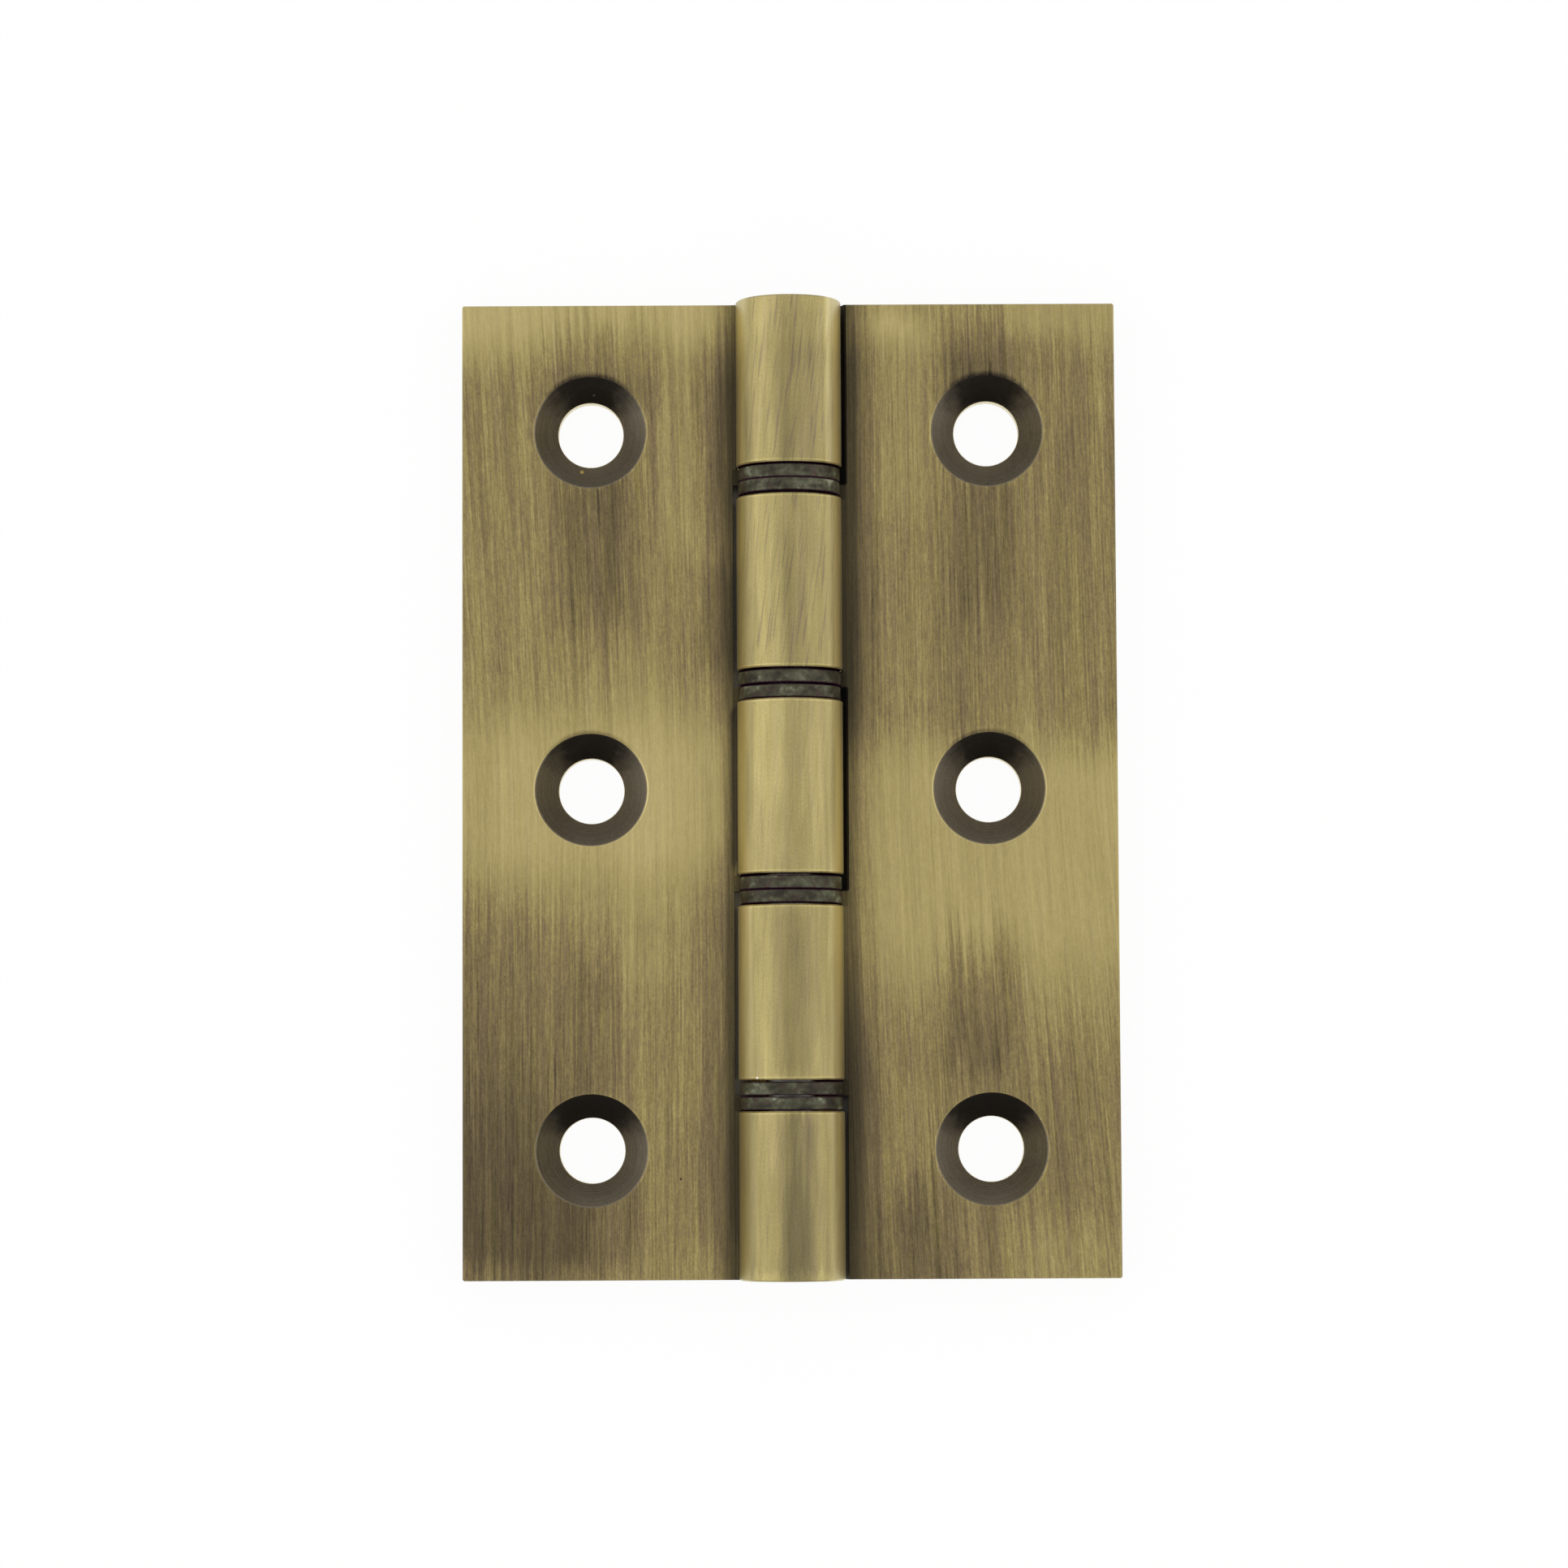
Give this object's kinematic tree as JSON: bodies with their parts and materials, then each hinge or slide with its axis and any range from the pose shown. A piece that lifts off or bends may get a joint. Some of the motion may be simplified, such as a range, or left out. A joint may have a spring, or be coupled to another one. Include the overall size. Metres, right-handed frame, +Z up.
{
  "type": "washered butt hinge",
  "caption": "Butt hinge with two flat leaves, interleaved knuckles with paired washers between them, a fixed pin and countersunk screw holes.",
  "frame": {"origin": "under the middle of the pin, on the plane of the leaves' back faces, with the hinge opened flat", "axes": "+Y along the pin towards the first knuckle, +X across to the outer edge of the right leaf, +Z up from the back faces"},
  "size_m": [0.051, 0.076, 0.0082],
  "materials": {
    "antique_brass": "brushed along the pin, with darker brown patina left in the corners and round the screw holes",
    "steel": "plain drawn rod, ends dressed flush",
    "washer_steel": "dull grey, slightly mottled"
  },
  "bodies": {
    "left_leaf": {"left_leaf": "antique_brass", "pin": "steel"},
    "right_leaf": {"right_leaf": "antique_brass"},
    "washer_1_upper": {"washer_1_upper": "washer_steel"},
    "washer_1_lower": {"washer_1_lower": "washer_steel"},
    "washer_2_upper": {"washer_2_upper": "washer_steel"},
    "washer_2_lower": {"washer_2_lower": "washer_steel"},
    "washer_3_upper": {"washer_3_upper": "washer_steel"},
    "washer_3_lower": {"washer_3_lower": "washer_steel"},
    "washer_4_upper": {"washer_4_upper": "washer_steel"},
    "washer_4_lower": {"washer_4_lower": "washer_steel"}
  },
  "joints": [
    {"name": "leaf_swing", "type": "hinge", "parent": "left_leaf", "child": "right_leaf", "pos_m": [0, 0, 0.0041], "axis": [0, -1, 0], "range_deg": [-50, 180]},
    {"name": "washer_1_upper_turn", "type": "hinge", "parent": "left_leaf", "child": "washer_1_upper", "pos_m": [0, 0.02436, 0.0041], "axis": [0, 1, 0], "continuous": true},
    {"name": "washer_1_lower_turn", "type": "hinge", "parent": "left_leaf", "child": "washer_1_lower", "pos_m": [0, 0.02331, 0.0041], "axis": [0, 1, 0], "continuous": true},
    {"name": "washer_2_upper_turn", "type": "hinge", "parent": "left_leaf", "child": "washer_2_upper", "pos_m": [0, 0.00847, 0.0041], "axis": [0, 1, 0], "continuous": true},
    {"name": "washer_2_lower_turn", "type": "hinge", "parent": "left_leaf", "child": "washer_2_lower", "pos_m": [0, 0.0073, 0.0041], "axis": [0, 1, 0], "continuous": true},
    {"name": "washer_3_upper_turn", "type": "hinge", "parent": "left_leaf", "child": "washer_3_upper", "pos_m": [0, -0.00742, 0.0041], "axis": [0, 1, 0], "continuous": true},
    {"name": "washer_3_lower_turn", "type": "hinge", "parent": "left_leaf", "child": "washer_3_lower", "pos_m": [0, -0.00851, 0.0041], "axis": [0, 1, 0], "continuous": true},
    {"name": "washer_4_upper_turn", "type": "hinge", "parent": "left_leaf", "child": "washer_4_upper", "pos_m": [0, -0.02326, 0.0041], "axis": [0, 1, 0], "continuous": true},
    {"name": "washer_4_lower_turn", "type": "hinge", "parent": "left_leaf", "child": "washer_4_lower", "pos_m": [0, -0.02441, 0.0041], "axis": [0, 1, 0], "continuous": true}
  ]
}
